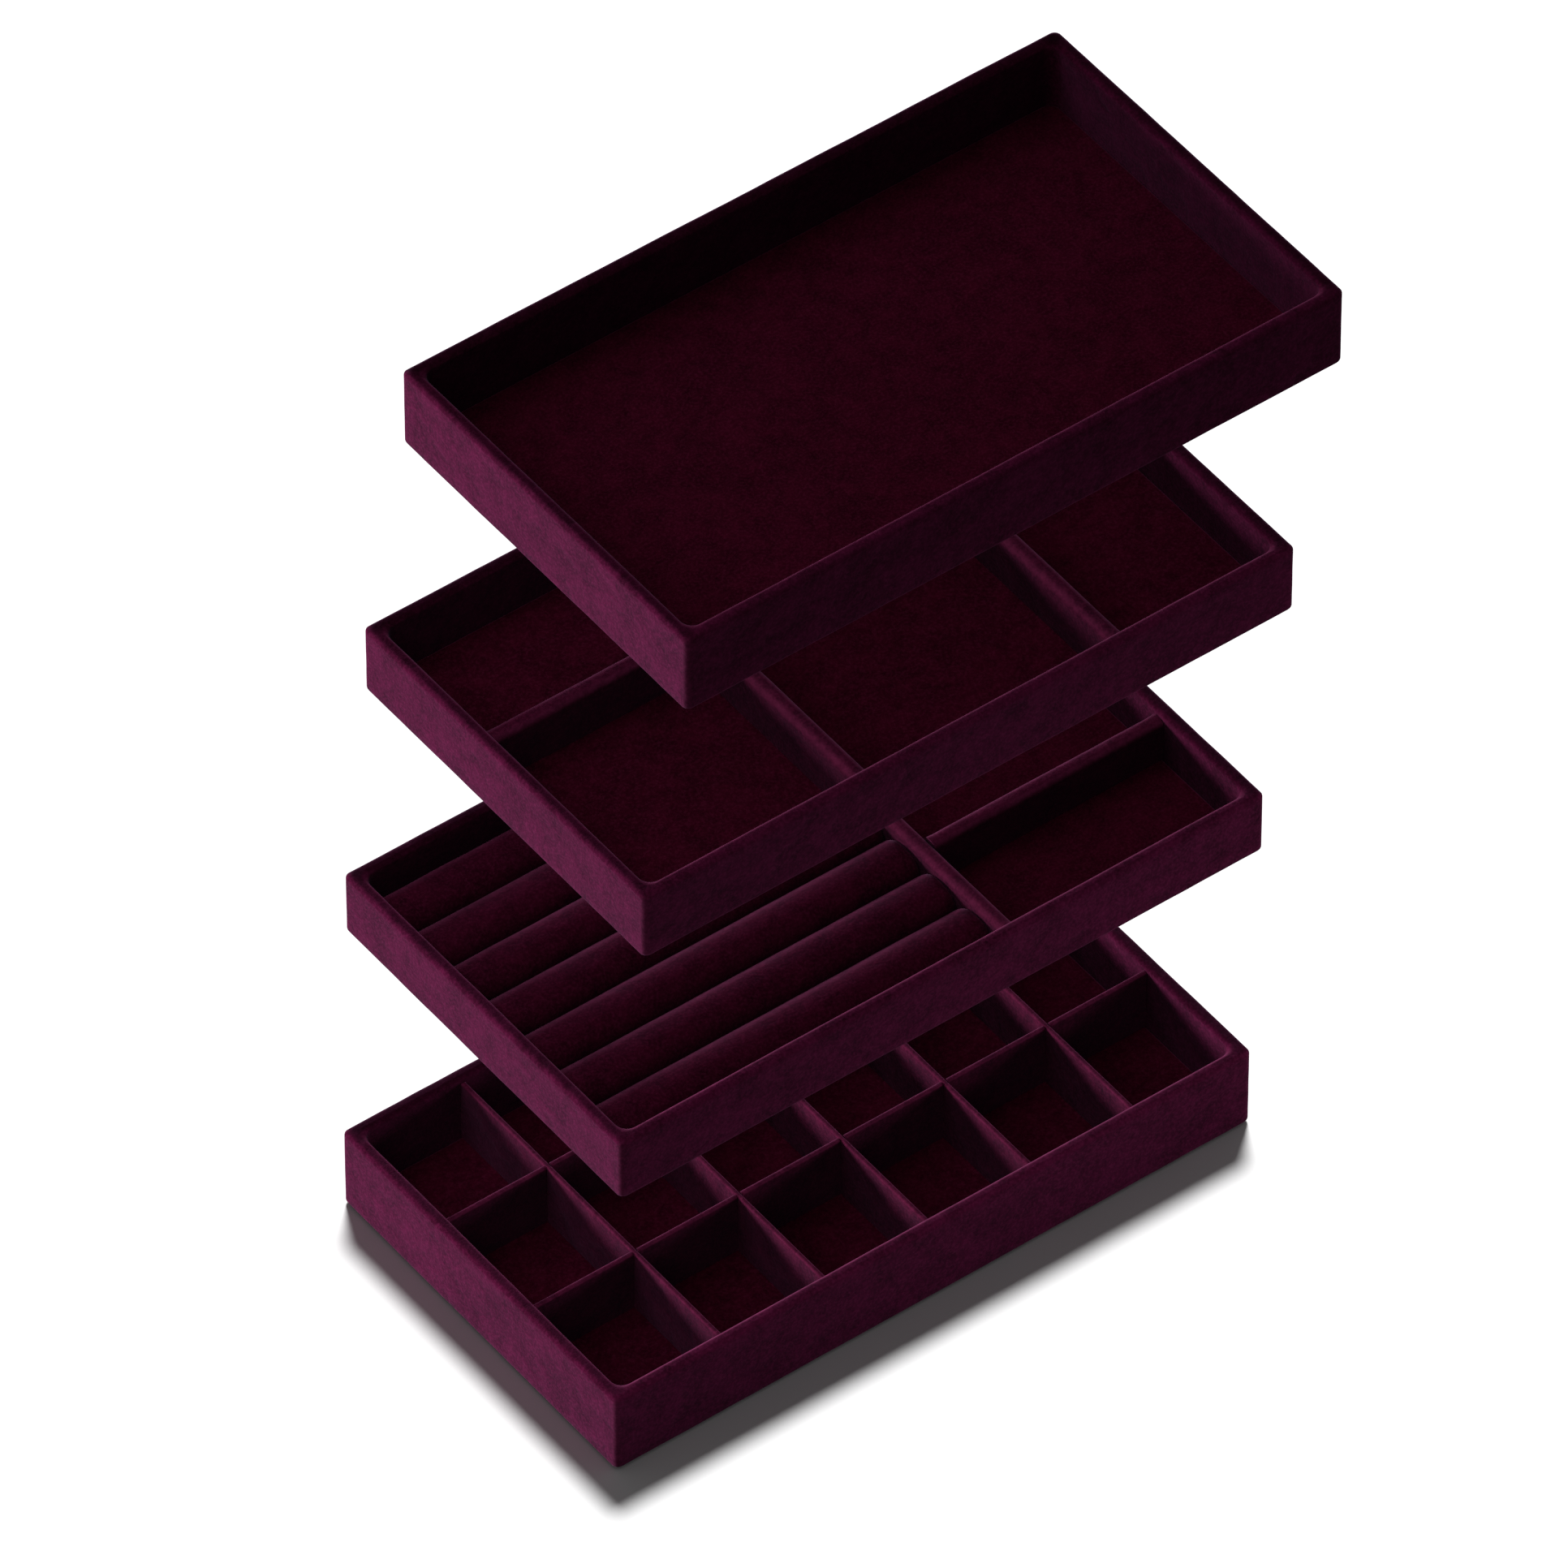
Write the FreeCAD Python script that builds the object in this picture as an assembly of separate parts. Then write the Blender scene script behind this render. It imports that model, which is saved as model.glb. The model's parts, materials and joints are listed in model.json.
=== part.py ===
import FreeCAD, Part
import os

# A set of four stacking jewelry trays: stiff board boxes wrapped in velvet, of one footprint.
# From the bottom: grid tray, ring tray, section tray, necklace tray, held apart one above the other.
# Millimetres. +X runs along the long side, +Y to the back, +Z up. The origin is under the middle of the set.

# Footprint and heights, over the velvet, from the underside of the wrap to the rim
tray_length = 280.0
tray_depth = 162.0
necklace_tray_height = 34.0
section_tray_height = 30.0
ring_tray_height = 28.0
grid_tray_height = 36.0

# How far each tray is lifted off the one below it, and the play left in a closed stack
ring_tray_lift = 102.0
section_tray_lift = 89.0
necklace_tray_lift = 85.0
stack_gap = 0.3

# How far each lifted tray stands to the right and to the front of the one below it
ring_tray_right = 2.0
section_tray_right = 8.4
necklace_tray_right = 14.4
ring_tray_forward = 1.5
section_tray_forward = 3.1
necklace_tray_forward = 5.2

# Boards, velvet and the pieces that every tray has
wall_board = 3.0
base_board = 3.0
velvet = 1.0
outer_corner_radius = 2.5
inner_corner_radius = 5.0
rim_round = 1.8
hem_round = 1.5
floor_panel_thickness = 2.0
floor_panel_round = 0.6
fit_gap = 0.2
felt_drop = 1.0
felt_margin = 0.8

# Section tray: thick dividers with rounded tops, three columns and two rows
section_divider = 7.0
section_divider_drop = 3.0
section_divider_round = 2.6
section_left_column_share = 0.342
section_middle_column_share = 0.403
section_front_row_share = 0.605

# Ring tray: foam rolls on the left, a cross divider, and long dividers that part the right-hand section
ring_roll_width = 20.1
ring_roll_gap = 0.6
ring_roll_end_gap = 0.5
ring_roll_drop = 6.0
ring_roll_crown = 8.0
ring_roll_end = 2.5
ring_roll_foot_share = 0.9
ring_roll_end_share = 0.94
ring_section_share = 0.618
ring_compartments = 3
ring_divider = 6.5
ring_divider_drop = 3.0
ring_divider_round = 2.4

# Grid tray: thin slotted dividers, columns along the length and rows along the depth
grid_columns = 6
grid_rows = 3
grid_divider = 2.2
grid_divider_drop = 2.5
grid_divider_round = 0.8
grid_slot_gap = 0.1

# One overrun serves all cuts; edges count as level within a small share of the velvet's thickness;
# a rounding takes at most a share of the piece's thickness
overrun = 1.0
level_slack_share = 0.001
round_limit_share = 0.45

# Worked out from the sizes above
wall = wall_board + 2 * velvet
inner_length = tray_length - 2 * wall
inner_depth = tray_depth - 2 * wall
board_top = velvet + base_board
floor_level = board_top + floor_panel_thickness
turn_in = wall + felt_margin
ring_roll_pitch = ring_roll_width + ring_roll_gap
ring_roll_count = int((inner_depth - inner_corner_radius) // ring_roll_pitch)


def block(x_low, x_high, y_low, y_high, z_low, z_high):
    """A box between two corners."""
    corner = FreeCAD.Vector(x_low, y_low, z_low)
    return Part.makeBox(x_high - x_low, y_high - y_low, z_high - z_low, corner)


def upright_edges(shape):
    """The vertical edges of a prism."""
    return [edge for edge in shape.Edges if edge.BoundBox.ZLength > edge.BoundBox.DiagonalLength / 2]


def level_edges(shape, level):
    """The edges that lie flat at one height."""
    slack = velvet * level_slack_share
    found = []
    for edge in shape.Edges:
        box = edge.BoundBox
        if abs(box.ZMin - level) < slack and abs(box.ZMax - level) < slack:
            found.append(edge)
    return found


def rounded_prism(length, depth, radius, z_low, z_high):
    """An upright prism, centred on the Z axis, with rounded corners."""
    prism = block(-length / 2, length / 2, -depth / 2, depth / 2, z_low, z_high)
    return prism.makeFillet(radius, upright_edges(prism))


def tray_boards(height):
    """The base board and the four wall boards that stand on it."""
    length = tray_length - 2 * velvet
    depth = tray_depth - 2 * velvet
    x_out = length / 2
    y_out = depth / 2
    x_in = x_out - wall_board
    y_in = y_out - wall_board
    top = height - velvet
    radius = outer_corner_radius - velvet
    outline = rounded_prism(length, depth, radius, velvet, top)
    return {
        "base_board": outline.common(block(-x_out, x_out, -y_out, y_out, velvet, board_top)),
        "front_wall": outline.common(block(-x_out, x_out, -y_out, -y_in, board_top, top)),
        "back_wall": outline.common(block(-x_out, x_out, y_in, y_out, board_top, top)),
        "left_wall": block(-x_out, -x_in, -y_in, y_in, board_top, top),
        "right_wall": block(x_in, x_out, -y_in, y_in, board_top, top),
    }


def velvet_wrap(height, boards):
    """The skin outside, over the rim, inside down to the base board, and turned in under the base."""
    skin = rounded_prism(tray_length, tray_depth, outer_corner_radius, 0, height)
    inside = rounded_prism(inner_length, inner_depth, inner_corner_radius, board_top, height + overrun)
    skin = skin.cut(inside)
    skin = skin.makeFillet(min(rim_round, wall * round_limit_share), level_edges(skin, height))
    skin = skin.makeFillet(hem_round, level_edges(skin, 0))
    window = rounded_prism(
        tray_length - 2 * turn_in, tray_depth - 2 * turn_in, inner_corner_radius, -overrun, velvet)
    skin = skin.cut(window)
    for board in boards.values():
        skin = skin.cut(board)
    return skin


def floor_panel():
    """Velvet-covered card that lies on the base board and fills the inside."""
    panel = rounded_prism(
        inner_length - 2 * fit_gap, inner_depth - 2 * fit_gap, inner_corner_radius, board_top, floor_level)
    radius = min(floor_panel_round, floor_panel_thickness * round_limit_share)
    return panel.makeFillet(radius, level_edges(panel, floor_level))


def base_felt():
    """The panel under the base, set between the turned-in edges and standing a little proud of them."""
    inset = turn_in + fit_gap
    return rounded_prism(
        tray_length - 2 * inset, tray_depth - 2 * inset, inner_corner_radius, -felt_drop, velvet)


def tray_shell(height):
    """The eight pieces that every tray has, by their own names."""
    boards = tray_boards(height)
    pieces = dict(boards)
    pieces["velvet_wrap"] = velvet_wrap(height, boards)
    pieces["floor_panel"] = floor_panel()
    pieces["base_felt"] = base_felt()
    return pieces


def covered_divider(x_low, x_high, y_low, y_high, top, radius):
    """A covered board that stands on the floor panel, with its long top edges rounded."""
    board = block(x_low, x_high, y_low, y_high, floor_level, top)
    runs_along_x = (x_high - x_low) > (y_high - y_low)
    thickness = min(x_high - x_low, y_high - y_low)
    edges = []
    for edge in level_edges(board, top):
        direction = edge.tangentAt(edge.FirstParameter)
        if (abs(direction.x) > abs(direction.y)) == runs_along_x:
            edges.append(edge)
    return board.makeFillet(min(radius, thickness * round_limit_share), edges)


def section_dividers():
    """Two cross dividers the full depth, and the long divider in three lengths between them."""
    top = section_tray_height - section_divider_drop
    x_end = inner_length / 2 - fit_gap
    y_end = inner_depth / 2 - fit_gap
    room_x = inner_length - 2 * section_divider
    room_y = inner_depth - section_divider
    first = -inner_length / 2 + room_x * section_left_column_share
    second = first + section_divider + room_x * section_middle_column_share
    front = -inner_depth / 2 + room_y * section_front_row_share
    pieces = {}
    for number, x_low in enumerate((first, second), start=1):
        pieces["section_cross_divider_%d" % number] = covered_divider(
            x_low, x_low + section_divider, -y_end, y_end, top, section_divider_round)
    spans = {
        "left": (-x_end, first - fit_gap),
        "middle": (first + section_divider + fit_gap, second - fit_gap),
        "right": (second + section_divider + fit_gap, x_end),
    }
    for name, (x_low, x_high) in spans.items():
        pieces["section_long_divider_" + name] = covered_divider(
            x_low, x_high, front, front + section_divider, top, section_divider_round)
    return pieces


def roll_section(x, y_middle, width, foot, height):
    """One closed outline of a ring roll: flat foot, sides that swell outwards, and a crown under a half circle."""
    belly = floor_level + height - min(ring_roll_crown, width * round_limit_share)
    left_foot = FreeCAD.Vector(x, y_middle - foot / 2, floor_level)
    left_belly = FreeCAD.Vector(x, y_middle - width / 2, belly)
    crest = FreeCAD.Vector(x, y_middle, floor_level + height)
    right_belly = FreeCAD.Vector(x, y_middle + width / 2, belly)
    right_foot = FreeCAD.Vector(x, y_middle + foot / 2, floor_level)
    return Part.Wire([
        Part.LineSegment(left_foot, left_belly).toShape(),
        Part.Arc(left_belly, crest, right_belly).toShape(),
        Part.LineSegment(right_belly, right_foot).toShape(),
        Part.LineSegment(right_foot, left_foot).toShape(),
    ])


def ring_roll(x_low, x_high, y_middle):
    """A foam roll with a crown, sides drawn in to the foot, and ends a little smaller than its middle."""
    height = ring_tray_height - ring_roll_drop - floor_level
    foot = ring_roll_width * ring_roll_foot_share
    end_height = height * ring_roll_end_share
    end_width = ring_roll_width * ring_roll_end_share
    end_foot = foot * ring_roll_end_share
    outlines = [
        roll_section(x_low, y_middle, end_width, end_foot, end_height),
        roll_section(x_low + ring_roll_end, y_middle, ring_roll_width, foot, height),
        roll_section(x_high - ring_roll_end, y_middle, ring_roll_width, foot, height),
        roll_section(x_high, y_middle, end_width, end_foot, end_height),
    ]
    return Part.makeLoft(outlines, True, True)


def ring_fittings():
    """The ring rolls, the cross divider, and the long dividers of the right-hand section."""
    top = ring_tray_height - ring_divider_drop
    x_end = inner_length / 2 - fit_gap
    y_end = inner_depth / 2 - fit_gap
    cross = -inner_length / 2 + (inner_length - ring_divider) * ring_section_share
    pieces = {"ring_cross_divider": covered_divider(
        cross, cross + ring_divider, -y_end, y_end, top, ring_divider_round)}
    first_middle = -(ring_roll_count - 1) * ring_roll_pitch / 2
    for number in range(ring_roll_count):
        pieces["ring_roll_%d" % (number + 1)] = ring_roll(
            -inner_length / 2 + ring_roll_end_gap, cross - fit_gap, first_middle + number * ring_roll_pitch)
    room = (inner_depth - (ring_compartments - 1) * ring_divider) / ring_compartments
    for number in range(1, ring_compartments):
        y_low = -inner_depth / 2 + number * room + (number - 1) * ring_divider
        pieces["ring_long_divider_%d" % number] = covered_divider(
            cross + ring_divider + fit_gap, x_end, y_low, y_low + ring_divider, top, ring_divider_round)
    return pieces


def grid_positions(inside, count):
    """The middles of evenly spaced dividers that leave equal compartments."""
    room = (inside - (count - 1) * grid_divider) / count
    return [-inside / 2 + n * (room + grid_divider) - grid_divider / 2 for n in range(1, count)]


def grid_dividers():
    """Row dividers slotted from above and column dividers slotted from below, like an egg crate."""
    top = grid_tray_height - grid_divider_drop
    middle = (floor_level + top) / 2
    x_end = inner_length / 2 - fit_gap
    y_end = inner_depth / 2 - fit_gap
    half = grid_divider / 2
    slot = half + grid_slot_gap
    columns = grid_positions(inner_length, grid_columns)
    rows = grid_positions(inner_depth, grid_rows)
    pieces = {}
    for number, y in enumerate(rows, start=1):
        row = covered_divider(-x_end, x_end, y - half, y + half, top, grid_divider_round)
        for x in columns:
            row = row.cut(block(
                x - slot, x + slot, y - half - overrun, y + half + overrun, middle - grid_slot_gap, top + overrun))
        pieces["grid_row_divider_%d" % number] = row
    for number, x in enumerate(columns, start=1):
        column = covered_divider(x - half, x + half, -y_end, y_end, top, grid_divider_round)
        for y in rows:
            column = column.cut(block(
                x - half - overrun, x + half + overrun, y - slot, y + slot, floor_level - overrun, middle))
        pieces["grid_column_divider_%d" % number] = column
    return pieces


def tray_places():
    """The middle of each tray's underside, from the bottom tray up, with the whole set centred on the Z axis."""
    all_right = ring_tray_right + section_tray_right + necklace_tray_right
    all_forward = ring_tray_forward + section_tray_forward + necklace_tray_forward
    grid = FreeCAD.Vector(-all_right / 2, all_forward / 2, felt_drop)
    ring = grid + FreeCAD.Vector(
        ring_tray_right, -ring_tray_forward, grid_tray_height + stack_gap + ring_tray_lift)
    section = ring + FreeCAD.Vector(
        section_tray_right, -section_tray_forward, ring_tray_height + stack_gap + section_tray_lift)
    necklace = section + FreeCAD.Vector(
        necklace_tray_right, -necklace_tray_forward, section_tray_height + stack_gap + necklace_tray_lift)
    return {"grid_tray": grid, "ring_tray": ring, "section_tray": section, "necklace_tray": necklace}


def build():
    """Every piece of the set in its place, by node name."""
    heights = {"grid_tray": grid_tray_height, "ring_tray": ring_tray_height,
               "section_tray": section_tray_height, "necklace_tray": necklace_tray_height}
    fittings = {"grid_tray": grid_dividers(), "ring_tray": ring_fittings(),
                "section_tray": section_dividers(), "necklace_tray": {}}
    nodes = {}
    for tray, place in tray_places().items():
        pieces = {tray + "_" + name: shape for name, shape in tray_shell(heights[tray]).items()}
        pieces.update(fittings[tray])
        for name, shape in pieces.items():
            placed = shape.copy()
            placed.translate(place)
            nodes[name] = placed
    return nodes


os.makedirs("parts", exist_ok=True)
for node, solid in build().items():
    solid.exportStep("parts/%s.step" % node)
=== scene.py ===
import json
import math

import bmesh
import bpy
import numpy as np
from mathutils import Matrix, Vector, noise

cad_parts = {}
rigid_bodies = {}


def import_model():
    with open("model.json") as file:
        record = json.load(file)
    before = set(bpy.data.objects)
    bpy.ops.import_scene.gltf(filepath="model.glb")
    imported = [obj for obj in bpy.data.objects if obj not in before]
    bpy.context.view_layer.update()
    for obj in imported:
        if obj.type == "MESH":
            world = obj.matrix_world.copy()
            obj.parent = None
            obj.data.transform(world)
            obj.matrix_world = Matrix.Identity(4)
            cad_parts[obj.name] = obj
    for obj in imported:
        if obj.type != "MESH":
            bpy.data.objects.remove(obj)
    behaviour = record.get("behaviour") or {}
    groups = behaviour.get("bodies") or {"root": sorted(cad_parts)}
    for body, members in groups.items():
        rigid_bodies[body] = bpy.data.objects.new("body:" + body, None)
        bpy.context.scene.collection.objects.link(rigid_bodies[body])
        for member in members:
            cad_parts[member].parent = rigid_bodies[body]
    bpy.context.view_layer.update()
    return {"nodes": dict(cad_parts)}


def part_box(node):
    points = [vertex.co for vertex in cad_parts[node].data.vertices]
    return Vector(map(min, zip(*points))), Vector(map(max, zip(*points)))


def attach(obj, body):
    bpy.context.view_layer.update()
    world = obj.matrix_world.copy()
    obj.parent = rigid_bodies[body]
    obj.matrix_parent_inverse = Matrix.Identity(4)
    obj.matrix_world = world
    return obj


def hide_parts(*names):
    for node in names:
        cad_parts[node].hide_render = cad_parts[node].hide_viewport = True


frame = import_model()

# The looks of a set of four velvet jewelry trays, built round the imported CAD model.
# Metres, in the CAD frame: +X along the long side, +Y to the back, +Z up.
MM = 0.001
TRAYS = ("grid_tray", "ring_tray", "section_tray", "necklace_tray")

# Sizes that the CAD model rounds or tucks with; all other sizes are read from its nodes
WALL = 5.0 * MM
CLOTH = 1.0 * MM
BASE_TOP = 4.0 * MM
TURN_IN = 5.8 * MM
OUTER_RADIUS = 2.5 * MM
INNER_RADIUS = 5.0 * MM
RIM_ROUND = 1.8 * MM
HEM_ROUND = 1.5 * MM
PANEL_ROUND = 0.9 * MM
FELT_ROUND = 0.5 * MM

# Dividers of each tray: the rounding of their top edges, and the unevenness of their cloth, which goes
# flat over the last steps to each end
DIVIDER_ROUND = {"section_tray": 2.8 * MM, "ring_tray": 2.6 * MM, "grid_tray": 0.9 * MM}
DIVIDER_UNEVEN = {"section_tray": 0.35 * MM, "ring_tray": 0.35 * MM, "grid_tray": 0.1 * MM}
DIVIDER_ROUND_LIMIT_SHARE = 0.46
DIVIDER_END_STEPS = 2
GRID_SLOT_GAP = 0.1 * MM

# Unevenness of cloth over board, and how far flat faces are held in so that they stay inside the CAD box
WRAP_SWELL = 0.16 * MM
RIM_SINK = 0.14 * MM
RIM_FACE_UP = 0.3
PANEL_SWELL = 0.12 * MM
PANEL_SINK = 0.1 * MM
BROAD_SWELL_WIDTH = 26 * MM
FINE_SWELL_WIDTH = 8 * MM
BROAD_SWELL_SHARE = 0.65
FINE_SWELL_SHARE = 0.35
FINE_SWELL_SHIFT = 3.0

# Ring rolls: foot and belly, the crown's slight flattening, and ends that pull in
ROLL_FOOT_SHARE = 0.88
ROLL_BELLY_SHARE = 0.50
ROLL_FLATTEN_SHARE = 0.06
ROLL_FLATTEN_POWER = 6
ROLL_SWELL = 0.22 * MM
ROLL_SINK_SHARE = 0.6
ROLL_END_PULL_SHARE = 0.06
ROLL_END_PULL_POWER = 2.2
ROLL_END = 3.0 * MM
ROLL_END_STATIONS = [0.0, 0.25 * MM, 0.7 * MM, 1.3 * MM, 2.1 * MM]

# Mesh steps along a piece, and the number of faces across each kind of bend or strip
SIDE_STEP = 2.4 * MM
PANEL_STEP = 3.84 * MM
DIVIDER_STEP = 1.8 * MM
ROLL_STEP = 2.2 * MM
CORNER_FACES = 10
EDGE_FACES = 6
HEM_FACES = 5
TURN_IN_FACES = 4
RIM_TOP_FACES = 3
CARD_EDGE_FACES = 5
CARD_SIDE_FACES = 2
CARD_MARGIN_FACES = 4
ROLL_SIDE_FACES = 6
ROLL_CROWN_FACES = 28
MERGE_DISTANCE = 0.002 * MM
SHARP_ANGLE = math.radians(50)

# How much painted highlight each kind of edge takes
HEM_HIGHLIGHT = 0.2
OUTER_RIM_HIGHLIGHT = 0.1
INNER_RIM_HIGHLIGHT = 0.8
UPRIGHT_HIGHLIGHT = 0.3
CARD_EDGE_HIGHLIGHT = 0.5
DIVIDER_EDGE_HIGHLIGHT = 0.4
DIVIDER_TOP_HIGHLIGHT = 0.1
ROLL_RIDGE_HIGHLIGHT = 0.45
ROLL_RIDGE_DEGREES = 48
ROLL_RIDGE_WIDTH_DEGREES = 22

# How much of the painted highlight the left sides take, and how much painted shade the rim tops take at the
# back, right and left
LEFT_HIGHLIGHT_SHARE = 0.85
BACK_RIM_SHADE = 0.7
RIGHT_RIM_SHADE = 0.6
LEFT_RIM_SHADE = 0.35

# The camera that the photograph was fitted with
CAMERA_YAW = math.radians(36.90)
CAMERA_PITCH = math.radians(45.79)
CAMERA_DISTANCE = 7.1841
CAMERA_SIDE = -0.01768
CAMERA_RISE = 0.13123
CAMERA_CLIP_END = 50.0
CAMERA_LENS_PIXELS = 25000.0
PHOTO_PIXELS = 1932.0
SENSOR = 36.0

# Floor and fill light
FLOOR_REACH = 4.0
FLOOR_SEEN = (0.86, 0.86, 0.86, 1.0)
FLOOR_BOUNCE = (0.5, 0.5, 0.5, 1.0)
WORLD_FILL = 0.11
WHITE = (1.0, 1.0, 1.0, 1.0)


# Materials

def linear(red, green, blue):
    """A colour of 0 to 255 as shader values."""
    values = []
    for byte in (red, green, blue):
        share = byte / 255.0
        values.append(share / 12.92 if share <= 0.04045 else ((share + 0.055) / 1.055) ** 2.4)
    return (*values, 1.0)


class Nodes:
    """The node tree of a material or a world, emptied, with short ways to add and join nodes."""

    # Where a mix node keeps its colours
    FIRST_COLOUR = 6
    SECOND_COLOUR = 7
    MIXED_COLOUR = 2

    def __init__(self, owner):
        owner.use_nodes = True
        self.tree = owner.node_tree
        self.tree.nodes.clear()

    def add(self, kind, **settings):
        node = self.tree.nodes.new(kind)
        for key, value in settings.items():
            setattr(node, key, value)
        return node

    def join(self, source, target):
        self.tree.links.new(source, target)

    def show(self, source, output="ShaderNodeOutputMaterial"):
        """Joins a shader to a new output."""
        self.join(source, self.add(output).inputs["Surface"])

    def place(self):
        """Where a point lies in the CAD frame."""
        return self.add("ShaderNodeTexCoord").outputs["Object"]

    def noise(self, coordinates, scale, detail, roughness=0.5, distortion=0.0):
        """A noise pattern; scale is patches per metre."""
        node = self.add("ShaderNodeTexNoise")
        node.inputs["Scale"].default_value = scale
        node.inputs["Detail"].default_value = detail
        node.inputs["Roughness"].default_value = roughness
        node.inputs["Distortion"].default_value = distortion
        self.join(coordinates, node.inputs["Vector"])
        return node.outputs["Fac"]

    def math(self, operation, first, second):
        """Two values or outputs put together."""
        node = self.add("ShaderNodeMath", operation=operation)
        for socket, value in zip(node.inputs, (first, second)):
            if isinstance(value, (int, float)):
                socket.default_value = value
            else:
                self.join(value, socket)
        return node.outputs[0]

    def spread(self, value, low, high, to_low=0.0, to_high=1.0):
        """A value stretched from one range to another, and kept inside it."""
        node = self.add("ShaderNodeMapRange")
        node.inputs["From Min"].default_value = low
        node.inputs["From Max"].default_value = high
        node.inputs["To Min"].default_value = to_low
        node.inputs["To Max"].default_value = to_high
        self.join(value, node.inputs["Value"])
        return node.outputs["Result"]

    def mix(self, share, first, second):
        """A colour between two colours or outputs."""
        node = self.add("ShaderNodeMix", data_type="RGBA")
        self.join(share, node.inputs["Factor"])
        for number, value in ((self.FIRST_COLOUR, first), (self.SECOND_COLOUR, second)):
            if isinstance(value, tuple):
                node.inputs[number].default_value = value
            else:
                self.join(value, node.inputs[number])
        return node.outputs[self.MIXED_COLOUR]

    def bump(self, height, distance, strength, normal=None):
        """Small relief; distance is its height in metres."""
        node = self.add("ShaderNodeBump")
        node.inputs["Distance"].default_value = distance
        node.inputs["Strength"].default_value = strength
        self.join(height, node.inputs["Height"])
        if normal is not None:
            self.join(normal, node.inputs["Normal"])
        return node.outputs["Normal"]

    def seen(self):
        """1 for what the camera sees, also in gloss or through glass; 0 for what only throws light."""
        path = self.add("ShaderNodeLightPath")
        share = self.math("MAXIMUM", path.outputs["Is Camera Ray"], path.outputs["Is Glossy Ray"])
        return self.math("MAXIMUM", share, path.outputs["Is Transmission Ray"])


# Colours of the velvet: its ground from deep to light, pile tips, painted edge highlight, painted rim
# shade, and sheen
DEEP_PLUM = linear(25, 3, 12)
LIGHT_PLUM = linear(55, 8, 32)
PILE_TIPS = linear(92, 38, 64)
PAINTED_EDGE_HIGHLIGHT = linear(78, 27, 51)
PAINTED_RIM_SHADE = linear(10, 1, 4)
NAP_SHEEN = linear(255, 195, 255)
NAP_SHEEN_ROUGHNESS = 0.4

# Patterns in the pile: how many patches, tufts and fibres go to a metre, and their shares in the colour
PATCHES = 85.0
TUFTS = 330.0
FIBRES = 950.0
PATCH_SHARE = 0.32
TUFT_SHARE = 0.30
FIBRE_SHARE = 0.36
TIP_SHARE = 0.08
PATCH_RELIEF = 1.6 * MM
TUFT_RELIEF = 0.2 * MM
FIBRE_RELIEF = 0.1 * MM


def velvet(name, deep, light, sheen_weight):
    """Cut pile: patches that lean one way or another, tufts, and the grain of the fibres themselves."""
    material = bpy.data.materials.new(name)
    nodes = Nodes(material)
    shader = nodes.add("ShaderNodeBsdfPrincipled")
    place = nodes.place()
    patches = nodes.noise(place, PATCHES, detail=3.0, roughness=0.55, distortion=0.6)
    tufts = nodes.noise(place, TUFTS, detail=4.0, roughness=0.6, distortion=0.3)
    fibres = nodes.noise(place, FIBRES, detail=3.0, roughness=0.65)

    share = nodes.math("ADD", nodes.spread(patches, 0.36, 0.64, to_high=PATCH_SHARE),
                       nodes.spread(tufts, 0.34, 0.66, to_high=TUFT_SHARE))
    share = nodes.math("ADD", share, nodes.spread(fibres, 0.38, 0.62, to_high=FIBRE_SHARE))
    ground = nodes.mix(share, deep, light)
    ground = nodes.mix(nodes.spread(fibres, 0.50, 0.72, to_high=TIP_SHARE), ground, PILE_TIPS)

    # The stored edge share: below 0 it mixes in painted shade, above 0 a painted highlight mottled by the
    # tufts
    edge = nodes.add("ShaderNodeAttribute", attribute_name="edge").outputs["Fac"]
    shade_share = nodes.math("MAXIMUM", nodes.math("MULTIPLY", edge, -1.0), 0.0)
    ground = nodes.mix(shade_share, ground, PAINTED_RIM_SHADE)
    patchy = nodes.spread(tufts, 0.30, 0.65, to_low=0.45)
    painted_highlight_share = nodes.math("MULTIPLY", nodes.math("MAXIMUM", edge, 0.0), patchy)
    nodes.join(nodes.mix(painted_highlight_share, ground, PAINTED_EDGE_HIGHLIGHT), shader.inputs["Base Color"])

    relief = nodes.bump(patches, PATCH_RELIEF, strength=0.3)
    relief = nodes.bump(tufts, TUFT_RELIEF, strength=0.7, normal=relief)
    relief = nodes.bump(fibres, FIBRE_RELIEF, strength=0.6, normal=relief)
    nodes.join(relief, shader.inputs["Normal"])
    nodes.join(nodes.spread(tufts, 0.3, 0.7, to_low=0.95, to_high=0.78), shader.inputs["Roughness"])
    shader.inputs["Specular IOR Level"].default_value = 0.0
    shader.inputs["Sheen Weight"].default_value = sheen_weight
    shader.inputs["Sheen Roughness"].default_value = NAP_SHEEN_ROUGHNESS
    shader.inputs["Sheen Tint"].default_value = NAP_SHEEN
    nodes.show(shader.outputs["BSDF"])
    return material


def board_material():
    """Grey board: pressed paper fibre with flecks."""
    material = bpy.data.materials.new("grey_board")
    nodes = Nodes(material)
    shader = nodes.add("ShaderNodeBsdfPrincipled")
    place = nodes.place()
    fibre = nodes.noise(place, scale=700.0, detail=4.0, roughness=0.65, distortion=0.8)
    flecks = nodes.noise(place, scale=2600.0, detail=1.0)
    share = nodes.math("ADD", nodes.spread(fibre, 0.3, 0.7, to_high=0.7),
                       nodes.spread(flecks, 0.62, 0.74, to_high=0.3))
    nodes.join(nodes.mix(share, linear(128, 120, 110), linear(160, 150, 138)), shader.inputs["Base Color"])
    nodes.join(nodes.bump(fibre, distance=0.1 * MM, strength=0.4), shader.inputs["Normal"])
    shader.inputs["Roughness"].default_value = 0.9
    nodes.show(shader.outputs["BSDF"])
    return material


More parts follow.
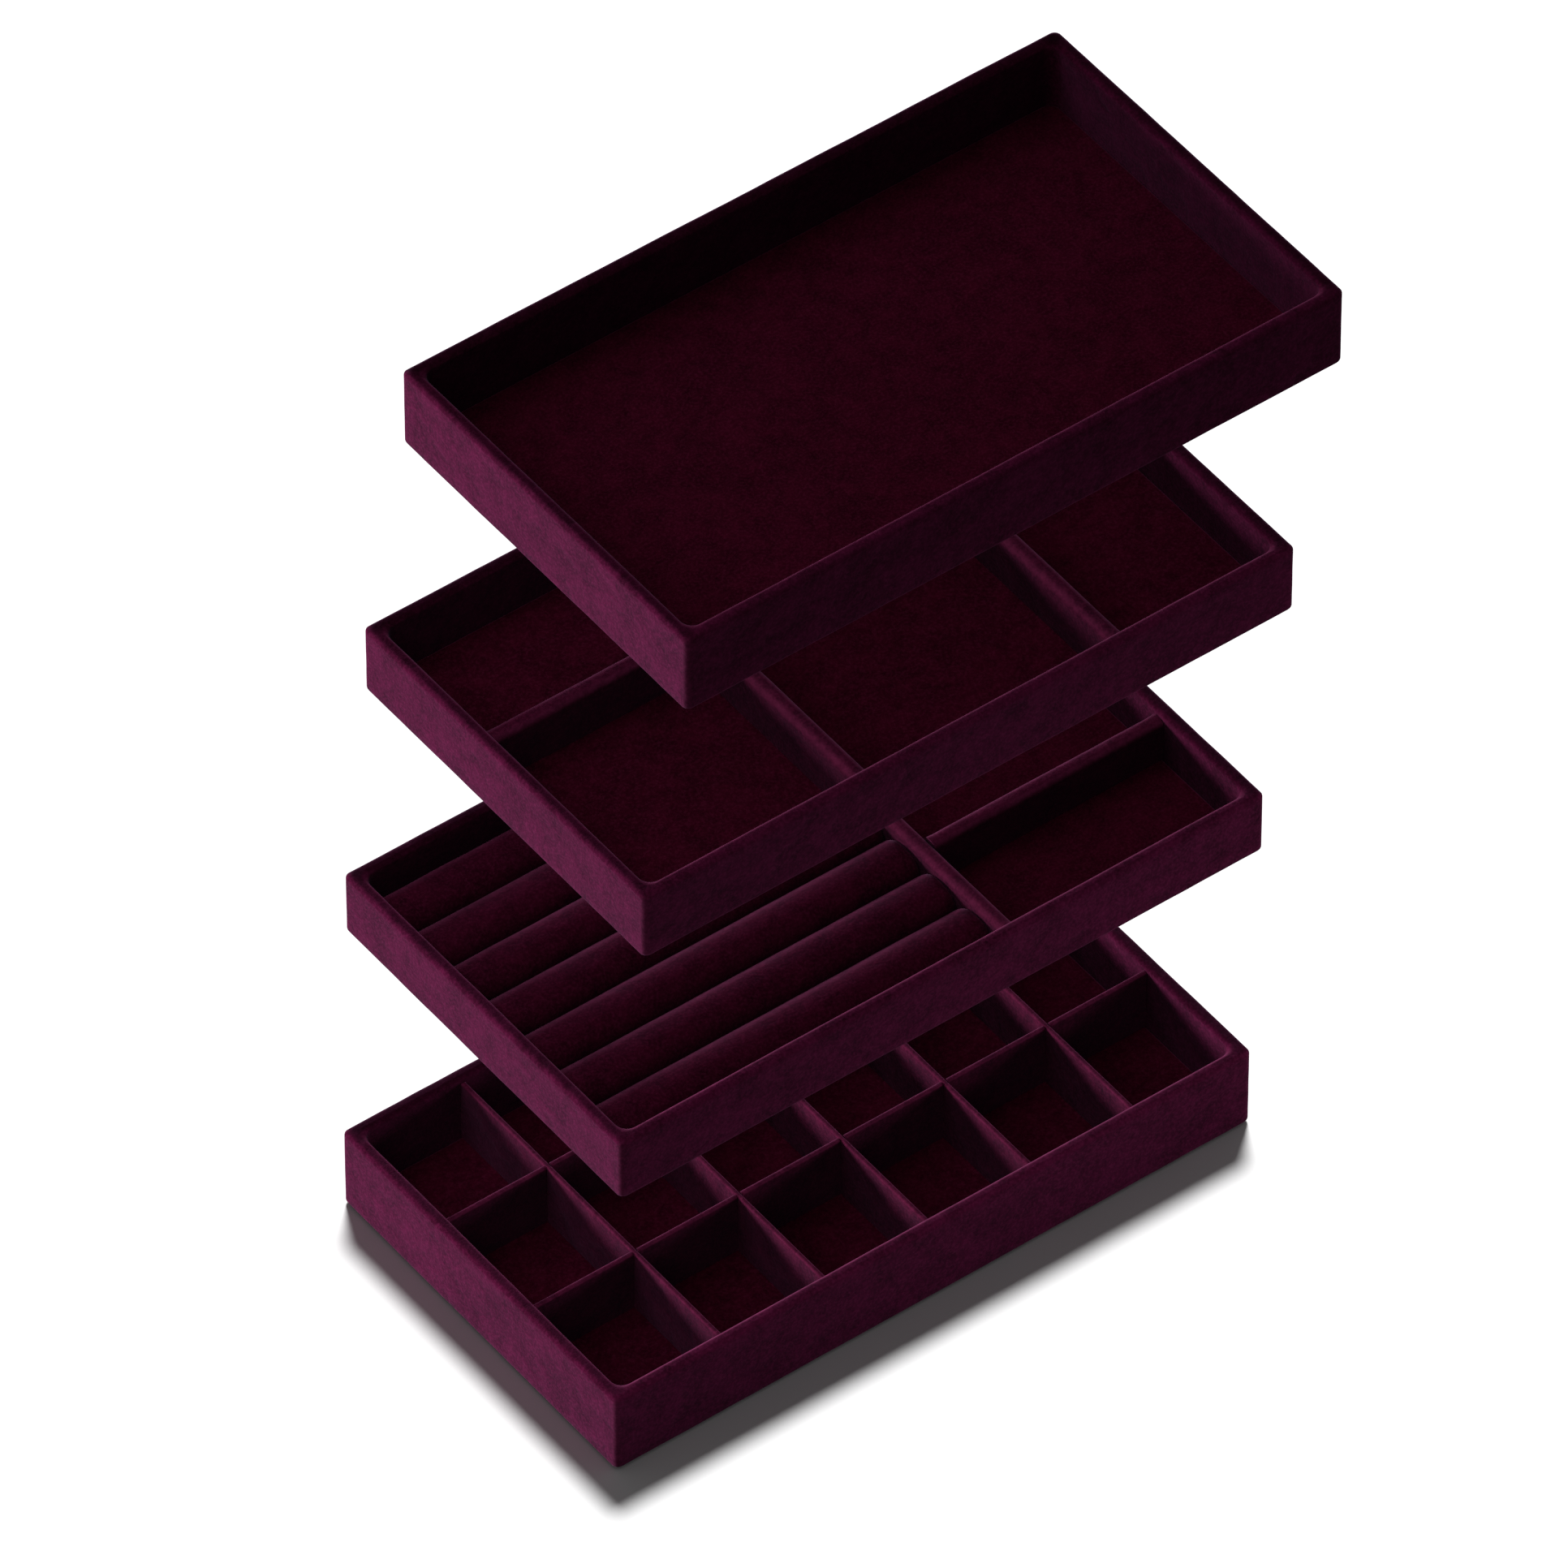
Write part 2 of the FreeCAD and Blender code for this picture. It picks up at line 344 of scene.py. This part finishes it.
def felt_material():
    """Pressed felt under the base: short matted fibre."""
    material = bpy.data.materials.new("base_felt")
    nodes = Nodes(material)
    shader = nodes.add("ShaderNodeBsdfPrincipled")
    place = nodes.place()
    matted = nodes.noise(place, scale=420.0, detail=5.0, roughness=0.7, distortion=1.2)
    fibre = nodes.noise(place, scale=1800.0, detail=2.0, roughness=0.6, distortion=0.5)
    share = nodes.math("ADD", nodes.spread(matted, 0.3, 0.7, to_high=0.6),
                       nodes.spread(fibre, 0.3, 0.7, to_high=0.4))
    nodes.join(nodes.mix(share, linear(30, 10, 20), linear(52, 24, 38)), shader.inputs["Base Color"])
    relief = nodes.bump(matted, distance=0.3 * MM, strength=0.6)
    relief = nodes.bump(fibre, distance=0.12 * MM, strength=0.6, normal=relief)
    nodes.join(relief, shader.inputs["Normal"])
    shader.inputs["Roughness"].default_value = 0.95
    shader.inputs["Specular IOR Level"].default_value = 0.1
    shader.inputs["Sheen Weight"].default_value = 0.15
    shader.inputs["Sheen Roughness"].default_value = 0.6
    shader.inputs["Sheen Tint"].default_value = linear(150, 110, 130)
    nodes.show(shader.outputs["BSDF"])
    return material


MATERIALS = {
    "velvet": velvet("plum_velvet", DEEP_PLUM, LIGHT_PLUM, sheen_weight=0.055),
    "velvet_lining": velvet(
        "plum_velvet_lining", linear(25, 2, 9), linear(50, 5, 21), sheen_weight=0.03),
    "velvet_divider": velvet(
        "plum_velvet_divider", linear(24, 2, 11), linear(54, 7, 28), sheen_weight=0.07),
    "velvet_roll": velvet(
        "plum_velvet_roll", linear(22, 2, 9), linear(47, 5, 22), sheen_weight=0.05),
    "board": board_material(),
    "felt": felt_material(),
}

# The pieces of each tray, which its own soft box lights and which shade one another
LIT = {tray: bpy.data.collections.new(tray + "_lit") for tray in TRAYS}


# Mesh making

def swell(point, seed):
    """Soft unevenness of cloth over board at a point, about -1 to 1."""
    broad = noise.noise(Vector(point) / BROAD_SWELL_WIDTH + Vector((seed, 0.0, 0.0)))
    fine = noise.noise(Vector(point) / FINE_SWELL_WIDTH + Vector((0.0, seed, FINE_SWELL_SHIFT)))
    return BROAD_SWELL_SHARE * broad + FINE_SWELL_SHARE * fine


def steps(length, step):
    """How many steps of about one size go into a length, at least one."""
    return max(1, round(length / step))


def make_piece(name, verts, faces, body, slot, nodes, edge):
    """A smooth-shaded mesh object that stands for CAD nodes and rides on their body."""
    mesh = bpy.data.meshes.new(name)
    mesh.from_pydata([tuple(v) for v in verts], [], faces)
    stored = mesh.attributes.new("edge", "FLOAT", "POINT")
    stored.data.foreach_set("value", np.asarray(edge, np.float32))
    work = bmesh.new()
    work.from_mesh(mesh)
    bmesh.ops.remove_doubles(work, verts=work.verts, dist=MERGE_DISTANCE)
    bmesh.ops.recalc_face_normals(work, faces=work.faces)
    work.to_mesh(mesh)
    work.free()
    mesh.polygons.foreach_set("use_smooth", [True] * len(mesh.polygons))
    mesh.set_sharp_from_angle(angle=SHARP_ANGLE)
    mesh.materials.append(MATERIALS[slot])
    piece = bpy.data.objects.new(name, mesh)
    bpy.context.scene.collection.objects.link(piece)
    LIT[body].objects.link(piece)
    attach(piece, body)
    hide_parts(*nodes)
    return piece


def grid_faces(rows, columns, close_rows, close_columns, first=0):
    """Quads over a grid of points that is stored row by row."""
    faces = []
    for i in range(rows if close_rows else rows - 1):
        for j in range(columns if close_columns else columns - 1):
            below = (i + 1) % rows
            right = (j + 1) % columns
            faces.append((first + i * columns + j, first + i * columns + right,
                          first + below * columns + right, first + below * columns + j))
    return faces


def ring_bridge(first, second, count):
    """Quads between two rings of points."""
    faces = []
    for k in range(count):
        after = (k + 1) % count
        faces.append((first + k, first + after, second + after, second + k))
    return faces


def capped_tube(sections, around):
    """Quads over closed sections that follow one another, and a face over each end."""
    faces = grid_faces(sections, around, False, True)
    faces.append(tuple(range(around)))
    faces.append(tuple(range((sections - 1) * around, sections * around)))
    return faces


def rounded_ring(middle, half_x, half_y, radius, along_x, along_y):
    """A fixed number of points round a rounded rectangle, their outward directions, and how far into a
    corner each one lies."""
    points = []
    outward = []
    cornering = []
    sides = (
        ((-1, -1), (1, -1), along_x, (0, -1)),
        ((1, -1), (1, 1), along_y, (1, 0)),
        ((1, 1), (-1, 1), along_x, (0, 1)),
        ((-1, 1), (-1, -1), along_y, (-1, 0)),
    )
    flat_x = half_x - radius
    flat_y = half_y - radius
    for number, (start, end, count, out) in enumerate(sides):
        for k in range(count):
            t = k / count
            x = (start[0] + (end[0] - start[0]) * t) * flat_x + out[0] * radius
            y = (start[1] + (end[1] - start[1]) * t) * flat_y + out[1] * radius
            points.append((middle.x + x, middle.y + y))
            outward.append(out)
            cornering.append(0.0)
        first_angle = math.radians(-90 + 90 * number)
        for k in range(CORNER_FACES):
            angle = first_angle + math.radians(90) * k / CORNER_FACES
            direction = (math.cos(angle), math.sin(angle))
            x = end[0] * flat_x + direction[0] * radius
            y = end[1] * flat_y + direction[1] * radius
            points.append((middle.x + x, middle.y + y))
            outward.append(direction)
            cornering.append(math.sin(math.pi * (k + 0.5) / CORNER_FACES))
    return points, outward, cornering


class Profile:
    """A cross-section drawn point by point. Each point has its inset from the outside, its height, the
    direction it faces, its share of painted highlight, and whether its cloth is loose (1) or held flat (0)."""

    def __init__(self):
        self.points = []

    def line(self, start, end, faces, count, edge=0.0, loose=1.0):
        """A straight run; its last point is left to whatever follows."""
        for k in range(count):
            t = k / count
            place = (start[0] + (end[0] - start[0]) * t, start[1] + (end[1] - start[1]) * t)
            self.points.append((*place, *faces, edge, loose))

    def arc(self, centre, radius, start, end, count, edge):
        """A bend between two angles in degrees; its painted highlight is strongest in the middle."""
        for k in range(count):
            angle = math.radians(start + (end - start) * k / count)
            out = (math.cos(angle), math.sin(angle))
            ridge = edge * math.sin(math.pi * k / count)
            place = (centre[0] + radius * out[0], centre[1] + radius * out[1])
            self.points.append((*place, *out, ridge, 1.0))


def wrap_profile(height):
    """The velvet from under the base, round the hem, up, over the rim and down inside, and its back."""
    drawn = Profile()
    rim_start = height - RIM_ROUND
    inner_rim = WALL - RIM_ROUND
    back = WALL - CLOTH
    under_rim = height - CLOTH
    drawn.line((TURN_IN, 0), (HEM_ROUND, 0), (0, -1), TURN_IN_FACES, loose=0.0)
    # The hem and both rim bends take painted highlight
    drawn.arc((HEM_ROUND, HEM_ROUND), HEM_ROUND, 270, 180, HEM_FACES, HEM_HIGHLIGHT)
    drawn.line((0, HEM_ROUND), (0, rim_start), (-1, 0), steps(rim_start - HEM_ROUND, SIDE_STEP))
    drawn.arc((RIM_ROUND, rim_start), RIM_ROUND, 180, 90, EDGE_FACES, OUTER_RIM_HIGHLIGHT)
    drawn.line((RIM_ROUND, height), (inner_rim, height), (0, 1), RIM_TOP_FACES)
    drawn.arc((inner_rim, rim_start), RIM_ROUND, 90, 0, EDGE_FACES, INNER_RIM_HIGHLIGHT)
    drawn.line((WALL, rim_start), (WALL, BASE_TOP), (1, 0), steps(rim_start - BASE_TOP, SIDE_STEP))
    drawn.line((WALL, BASE_TOP), (back, BASE_TOP), (0, -1), 1, loose=0.0)
    drawn.line((back, BASE_TOP), (back, under_rim), (-1, 0), 1, loose=0.0)
    drawn.line((back, under_rim), (CLOTH, under_rim), (0, -1), 1, loose=0.0)
    drawn.line((CLOTH, under_rim), (CLOTH, CLOTH), (1, 0), 1, loose=0.0)
    drawn.line((CLOTH, CLOTH), (TURN_IN, CLOTH), (0, 1), 1, loose=0.0)
    drawn.line((TURN_IN, CLOTH), (TURN_IN, 0), (1, 0), 1, loose=0.0)
    return drawn.points


def painted_edge_light(edge, out_x, out_y, face_up):
    """The painted highlight (above 0) or painted shade (below 0) of a wrap at a point. Edges take painted
    highlight at the front and left; rim tops take painted shade at the back and right, and less at the
    left."""
    front = max(0.0, -out_y)
    back = max(0.0, out_y)
    left = max(0.0, -out_x)
    right = max(0.0, out_x)
    highlight_share = min(1.0, front + LEFT_HIGHLIGHT_SHARE * left)
    shade_share = min(1.0, BACK_RIM_SHADE * back + RIGHT_RIM_SHADE * right + LEFT_RIM_SHADE * left)
    return edge * highlight_share - shade_share * max(0.0, face_up)


def corner_radius(inset):
    """The plan radius of a corner at an inset from the outside of the wall."""
    share = min(1.0, max(0.0, inset / WALL))
    return OUTER_RADIUS + (INNER_RADIUS - OUTER_RADIUS) * share


def build_wrap(tray, seed):
    """The velvet of one tray, swept round its footprint."""
    low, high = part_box(tray + "_velvet_wrap")
    middle = (low + high) / 2
    half_x = (high.x - low.x) / 2
    half_y = (high.y - low.y) / 2
    along_x = steps(2 * half_x, SIDE_STEP)
    along_y = steps(2 * half_y, SIDE_STEP)
    verts = []
    edges = []
    profile = wrap_profile(high.z - low.z)
    for inset, up, face_in, face_up, edge, loose in profile:
        ring = rounded_ring(middle, half_x - inset, half_y - inset, corner_radius(inset), along_x, along_y)
        for (x, y), (out_x, out_y), corner in zip(*ring):
            point = Vector((x, y, low.z + up))
            normal = Vector((-face_in * out_x, -face_in * out_y, face_up))
            sink = RIM_SINK if face_up > RIM_FACE_UP else 0.0
            rise = loose * (WRAP_SWELL * swell(point, seed) - sink)
            verts.append(point + normal * rise)
            # Painted highlight up the outer corners
            corner_highlight = UPRIGHT_HIGHLIGHT * corner * max(0.0, -face_in)
            edges.append((painted_edge_light(edge, out_x, out_y, face_up) + corner_highlight) * loose)
    faces = grid_faces(len(profile), len(verts) // len(profile), True, True)
    make_piece(tray + "_wrap", verts, faces, tray, "velvet", [tray + "_velvet_wrap"], edges)


def build_panel(name, node, body, slot, rounding, seed, upside_down=False):
    """A covered card: a rounded edge, and a shown face that is a little uneven."""
    low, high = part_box(node)
    middle = (low + high) / 2
    half_x = (high.x - low.x) / 2
    half_y = (high.y - low.y) / 2
    thickness = high.z - low.z
    inner_x = half_x - INNER_RADIUS
    inner_y = half_y - INNER_RADIUS
    along_x = steps(2 * half_x, PANEL_STEP)
    along_y = steps(2 * half_y, PANEL_STEP)
    base, top, way = (high.z, low.z, -1.0) if upside_down else (low.z, high.z, 1.0)

    def card_point(x, y, level, share):
        """A point of the card that takes a share of the unevenness."""
        point = Vector((x, y, level))
        rise = share * (PANEL_SWELL * swell(point, seed) - PANEL_SINK)
        return point + Vector((0, 0, way * rise))

    drawn = Profile()
    drawn.line((0, 0), (0, thickness - rounding), (-1, 0), CARD_SIDE_FACES, loose=0.0)
    # Painted highlight along the card's rounded edge
    drawn.arc((rounding, thickness - rounding), rounding, 180, 90, CARD_EDGE_FACES, CARD_EDGE_HIGHLIGHT)
    drawn.line((rounding, thickness), (INNER_RADIUS, thickness), (0, 1), CARD_MARGIN_FACES)
    verts = []
    edges = []
    for inset, up, _, face_up, edge, loose in drawn.points:
        ring, _, _ = rounded_ring(
            middle, half_x - inset, half_y - inset, INNER_RADIUS - inset, along_x, along_y)
        for x, y in ring:
            verts.append(card_point(x, y, base + way * up, loose * max(0.0, face_up)))
            edges.append(edge)
    rings = len(drawn.points)
    count = len(verts) // rings
    faces = grid_faces(rings, count, False, True)

    for level, share in ((top, 1.0), (base, 0.0)):
        faces += grid_faces(along_y + 1, along_x + 1, False, False, len(verts))
        for j in range(along_y + 1):
            y = middle.y - inner_y + 2 * inner_y * j / along_y
            for i in range(along_x + 1):
                x = middle.x - inner_x + 2 * inner_x * i / along_x
                verts.append(card_point(x, y, level, share))

    inner_ring, _, _ = rounded_ring(middle, inner_x, inner_y, 0.0, along_x, along_y)
    for level, share, outer in ((top, 1.0, (rings - 1) * count), (base, 0.0, 0)):
        faces += ring_bridge(outer, len(verts), count)
        for x, y in inner_ring:
            verts.append(card_point(x, y, level, share))
    edges += [0.0] * (len(verts) - len(edges))
    make_piece(name, verts, faces, body, slot, [node], edges)


def build_divider(node, body, seed):
    """A covered divider: flat sides, rounded top edges, flat ends, and cloth that is a little uneven."""
    low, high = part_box(node)
    size = high - low
    along = 0 if size.x > size.y else 1
    across = 1 - along
    width = size[across]
    height = size.z
    length = size[along]
    rounding = min(DIVIDER_ROUND[body], DIVIDER_ROUND_LIMIT_SHARE * width)
    shoulder = height - rounding
    upright_steps = steps(shoulder, DIVIDER_STEP)
    top_steps = steps(width - 2 * rounding, DIVIDER_STEP)
    drawn = Profile()
    drawn.line((0, 0), (0, shoulder), (-1, 0), upright_steps)
    # Painted highlight along both top edges and, faintly, over the top
    drawn.arc((rounding, shoulder), rounding, 180, 90, EDGE_FACES, DIVIDER_EDGE_HIGHLIGHT)
    drawn.line((rounding, height), (width - rounding, height), (0, 1), top_steps, edge=DIVIDER_TOP_HIGHLIGHT)
    drawn.arc((width - rounding, shoulder), rounding, 90, 0, EDGE_FACES, DIVIDER_EDGE_HIGHLIGHT)
    drawn.line((width, shoulder), (width, 0), (1, 0), upright_steps)
    drawn.line((width, 0), (0, 0), (0, -1), max(2, top_steps), loose=0.0)
    last = steps(length, DIVIDER_STEP)
    verts = []
    edges = []
    for k in range(last + 1):
        from_end = min(1.0, min(k, last - k) / DIVIDER_END_STEPS)
        for side, up, face_side, face_up, edge, loose in drawn.points:
            point = Vector((0, 0, low.z + up))
            point[along] = low[along] + length * k / last
            point[across] = low[across] + side
            normal = Vector((0, 0, face_up))
            normal[across] = face_side
            rise = loose * from_end * DIVIDER_UNEVEN[body] * (swell(point, seed) - 1.0) / 2
            verts.append(point + normal * rise)
            edges.append(edge)
    faces = capped_tube(last + 1, len(drawn.points))
    return make_piece(node + "_cover", verts, faces, body, "velvet_divider", [node], edges)


def cut_slots(piece, slots):
    """Cuts box-shaped slots through a piece."""
    for low, high in slots:
        work = bmesh.new()
        bmesh.ops.create_cube(work, size=1.0)
        place = Matrix.Translation((low + high) / 2) @ Matrix.Diagonal((*(high - low), 1.0))
        bmesh.ops.transform(work, matrix=place, verts=work.verts)
        mesh = bpy.data.meshes.new("slot")
        work.to_mesh(mesh)
        work.free()
        cutter = bpy.data.objects.new("slot", mesh)
        bpy.context.scene.collection.objects.link(cutter)
        modifier = piece.modifiers.new("slot", "BOOLEAN")
        modifier.operation = "DIFFERENCE"
        modifier.solver = "EXACT"
        modifier.object = cutter
        bpy.context.view_layer.update()
        cut_piece = piece.evaluated_get(bpy.context.evaluated_depsgraph_get())
        cut_mesh = bpy.data.meshes.new_from_object(cut_piece)
        piece.modifiers.remove(modifier)
        piece.data = cut_mesh
        bpy.data.objects.remove(cutter)


def slot_grid(rows, columns):
    """Egg-crate slots: rows are open above, columns below."""
    for row, row_piece in rows.items():
        row_low, row_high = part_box(row)
        middle = (row_low.z + row_high.z) / 2
        slots = []
        for column in columns:
            low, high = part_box(column)
            slots.append((Vector((low.x - GRID_SLOT_GAP, row_low.y - MM, middle - GRID_SLOT_GAP)),
                          Vector((high.x + GRID_SLOT_GAP, row_high.y + MM, row_high.z + MM))))
        cut_slots(row_piece, slots)
    for column, column_piece in columns.items():
        low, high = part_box(column)
        middle = (low.z + high.z) / 2
        slots = []
        for row in rows:
            row_low, row_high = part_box(row)
            slots.append((Vector((low.x - MM, row_low.y - GRID_SLOT_GAP, low.z - MM)),
                          Vector((high.x + MM, row_high.y + GRID_SLOT_GAP, middle))))
        cut_slots(column_piece, slots)


def roll_outline(half, height):
    """A roll's section: side, height, and the painted highlight along the far side of its crown."""
    foot = ROLL_FOOT_SHARE * half
    belly = ROLL_BELLY_SHARE * height
    rising = []
    for k in range(ROLL_SIDE_FACES):
        t = k / ROLL_SIDE_FACES
        rising.append((foot + (half - foot) * math.sin(t * math.pi / 2), belly * t))
    outline = [(-side, up, 0.0) for side, up in rising]
    for k in range(ROLL_CROWN_FACES + 1):
        angle = math.pi - math.pi * k / ROLL_CROWN_FACES
        flattened = 1.0 - ROLL_FLATTEN_SHARE * math.sin(angle) ** ROLL_FLATTEN_POWER
        full = flattened / (1.0 - ROLL_FLATTEN_SHARE)
        # Painted highlight on the far side of the crown
        from_ridge = abs(math.degrees(angle) - ROLL_RIDGE_DEGREES)
        ridge = ROLL_RIDGE_HIGHLIGHT * max(0.0, 1.0 - from_ridge / ROLL_RIDGE_WIDTH_DEGREES)
        outline.append((half * math.cos(angle), belly + (height - belly) * math.sin(angle) * full, ridge))
    outline += [(side, up, 0.0) for side, up in reversed(rising)]
    for k in range(1, ROLL_SIDE_FACES):
        outline.append((foot - 2 * foot * k / ROLL_SIDE_FACES, 0.0, 0.0))
    return outline


def build_roll(node, seed):
    """A foam roll in velvet: flat foot, swelling sides, full crown, and ends that pull in."""
    low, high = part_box(node)
    length = high.x - low.x
    height = high.z - low.z
    middle = (low.y + high.y) / 2
    half = (high.y - low.y) / 2
    belly = ROLL_BELLY_SHARE * height
    outline = roll_outline(half, height)
    count = steps(length, ROLL_STEP)
    between = length - 2 * ROLL_END
    stations = ROLL_END_STATIONS + [ROLL_END + between * k / count for k in range(count + 1)]
    stations += [length - station for station in reversed(ROLL_END_STATIONS)]
    verts = []
    edges = []
    for station in stations:
        from_end = min(1.0, min(station, length - station) / ROLL_END)
        pull = -ROLL_END_PULL_SHARE * (1.0 - from_end) ** ROLL_END_PULL_POWER
        for side, up, ridge in outline:
            point = Vector((low.x + station, middle + side, low.z + up))
            rise = ROLL_SWELL * (swell(point, seed) - ROLL_SINK_SHARE) * min(1.0, up / belly)
            drawn_in = Vector((0, side * pull, up * pull))
            out = Vector((0, side / half, max(0.0, up - belly) / height))
            verts.append(point + drawn_in + out * rise)
            edges.append(ridge)
    faces = capped_tube(len(stations), len(outline))
    piece = make_piece(node + "_cover", verts, faces, "ring_tray", "velvet_roll", [node], edges)


# The four trays

for number, tray in enumerate(TRAYS):
    # Different seeds keep these pieces from being uneven alike
    seed = 11.0 * number
    build_wrap(tray, seed + 1.0)
    build_panel(tray + "_floor", tray + "_floor_panel", tray, "velvet_lining", PANEL_ROUND, seed + 4.0)
    build_panel(tray + "_felt", tray + "_base_felt", tray, "felt", FELT_ROUND, seed + 6.0, upside_down=True)

# Hidden boards keep their CAD shape; rolls and dividers get covers
dividers = {}
for number, node in enumerate(sorted(frame["nodes"])):
    if node.endswith(("_board", "_wall")):
        shown = frame["nodes"][node]
        shown.data.materials.clear()
        shown.data.materials.append(MATERIALS["board"])
    elif node.startswith("ring_roll"):
        build_roll(node, float(number))
    elif "_divider" in node:
        dividers[node] = build_divider(node, node.split("_")[0] + "_tray", number)
slot_grid({node: piece for node, piece in dividers.items() if node.startswith("grid_row")},
          {node: piece for node, piece in dividers.items() if node.startswith("grid_column")})


# Floor, light and camera

def build_floor():
    """A wide pale floor. To the camera it is white where nothing shades it, and it throws less light back
    on the trays."""
    mesh = bpy.data.meshes.new("floor")
    corners = [(FLOOR_REACH * x, FLOOR_REACH * y, 0) for x, y in ((-1, -1), (1, -1), (1, 1), (-1, 1))]
    mesh.from_pydata(corners, [], [(0, 1, 2, 3)])
    floor = bpy.data.objects.new("floor", mesh)
    bpy.context.scene.collection.objects.link(floor)
    material = bpy.data.materials.new("pale_floor")
    nodes = Nodes(material)
    matt = nodes.add("ShaderNodeBsdfDiffuse")
    nodes.join(nodes.mix(nodes.seen(), FLOOR_BOUNCE, FLOOR_SEEN), matt.inputs["Color"])
    nodes.show(matt.outputs["BSDF"])
    mesh.materials.append(material)
    return floor


def build_world():
    """A dim even fill; the camera sees white."""
    world = bpy.data.worlds.new("studio")
    bpy.context.scene.world = world
    nodes = Nodes(world)
    background = nodes.add("ShaderNodeBackground")
    background.inputs["Color"].default_value = WHITE
    nodes.join(nodes.spread(nodes.seen(), 0.0, 1.0, WORLD_FILL, 1.0), background.inputs["Strength"])
    nodes.show(background.outputs["Background"], "ShaderNodeOutputWorld")


def add_light(data, way, lit, shading=None):
    """A lamp that shines along a way, on some pieces only, and is shaded by some pieces only if named."""
    light = bpy.data.objects.new(data.name, data)
    bpy.context.scene.collection.objects.link(light)
    light.rotation_mode = "QUATERNION"
    light.rotation_quaternion = way.to_track_quat("-Z", "Y")
    light.visible_camera = False
    light.light_linking.receiver_collection = lit
    if shading is not None:
        light.light_linking.blocker_collection = shading
    return light


def add_soft_box(name, place, target, width, height, power, lit, shading=None, spread=180):
    """A soft box that faces a point; spread is in degrees."""
    data = bpy.data.lights.new(name, "AREA")
    data.shape = "RECTANGLE"
    data.size = width
    data.size_y = height
    data.energy = power
    data.spread = math.radians(spread)
    light = add_light(data, Vector(target) - Vector(place), lit, shading)
    light.location = place


def build_camera():
    """The photograph's viewing angle."""
    turn = CAMERA_YAW
    tilt = CAMERA_PITCH
    right = Vector((math.cos(turn), -math.sin(turn), 0))
    up = Vector((math.sin(turn) * math.sin(tilt), math.cos(turn) * math.sin(tilt), math.cos(tilt)))
    ahead = Vector((math.sin(turn) * math.cos(tilt), math.cos(turn) * math.cos(tilt), -math.sin(tilt)))
    place = right * CAMERA_SIDE + up * CAMERA_RISE - ahead * CAMERA_DISTANCE
    data = bpy.data.cameras.new("camera")
    data.sensor_width = SENSOR
    data.lens = SENSOR * CAMERA_LENS_PIXELS / PHOTO_PIXELS
    data.clip_end = CAMERA_CLIP_END
    camera = bpy.data.objects.new("camera", data)
    bpy.context.scene.collection.objects.link(camera)
    axes = Matrix((right, up, -ahead)).transposed().to_4x4()
    camera.matrix_world = Matrix.Translation(place) @ axes
    bpy.context.scene.camera = camera


floor = build_floor()
build_world()
all_trays = bpy.data.collections.new("all_trays")
for tray in TRAYS:
    for piece in LIT[tray].objects:
        all_trays.objects.link(piece)

# A low soft box behind on the left lights the left sides and leaves the insides to the boxes above
add_soft_box("key", place=(-1.4, 1.5, 0.28), target=(0.0, 0.0, 0.2), width=1.2, height=0.5, power=172.0,
             lit=all_trays)

# A weaker one on the right lights the sides that the photograph does not show
add_soft_box("away", place=(1.5, 1.0, 0.28), target=(0.0, 0.0, 0.2), width=1.2, height=0.5, power=45.0,
             lit=all_trays)

# A weak low one with a narrow spread brightens the fronts of the lower trays towards the right
add_soft_box("side", place=(0.45, -0.42, 0.08), target=(0.05, -0.08, 0.08), width=0.3, height=0.2,
             power=0.42, lit=all_trays, spread=60)

# In the photograph no tray shades the one below, so each has its own soft box, above it on the left and
# a little behind
TOP_WAY = {
    "grid_tray": Vector((-0.45, 0.08, 0.89)),
    "ring_tray": Vector((-0.40, 0.20, 0.89)),
    "section_tray": Vector((-0.45, 0.12, 0.88)),
    "necklace_tray": Vector((-0.50, 0.33, 0.80)),
}
TOP_DISTANCE = 1.6
for tray in TRAYS:
    low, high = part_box(tray + "_velvet_wrap")
    centre = (low + high) / 2
    add_soft_box(tray + "_top", place=centre + TOP_WAY[tray] * TOP_DISTANCE, target=centre,
                 width=1.8, height=1.8, power=29.0, lit=LIT[tray], shading=LIT[tray])

# The floor is lit from behind on the right, so that the lowest tray's shadow comes out on both near sides
FLOOR_SUN_WAY = Vector((0.31, 0.40, 0.86))
sun = bpy.data.lights.new("floor_sun", "SUN")
sun.energy = 4.5
sun.angle = math.radians(15)
stage = bpy.data.collections.new("stage")
stage.objects.link(floor)
add_light(sun, -FLOOR_SUN_WAY, lit=stage, shading=LIT["grid_tray"])

build_camera()
bpy.context.scene.view_settings.view_transform = "Standard"
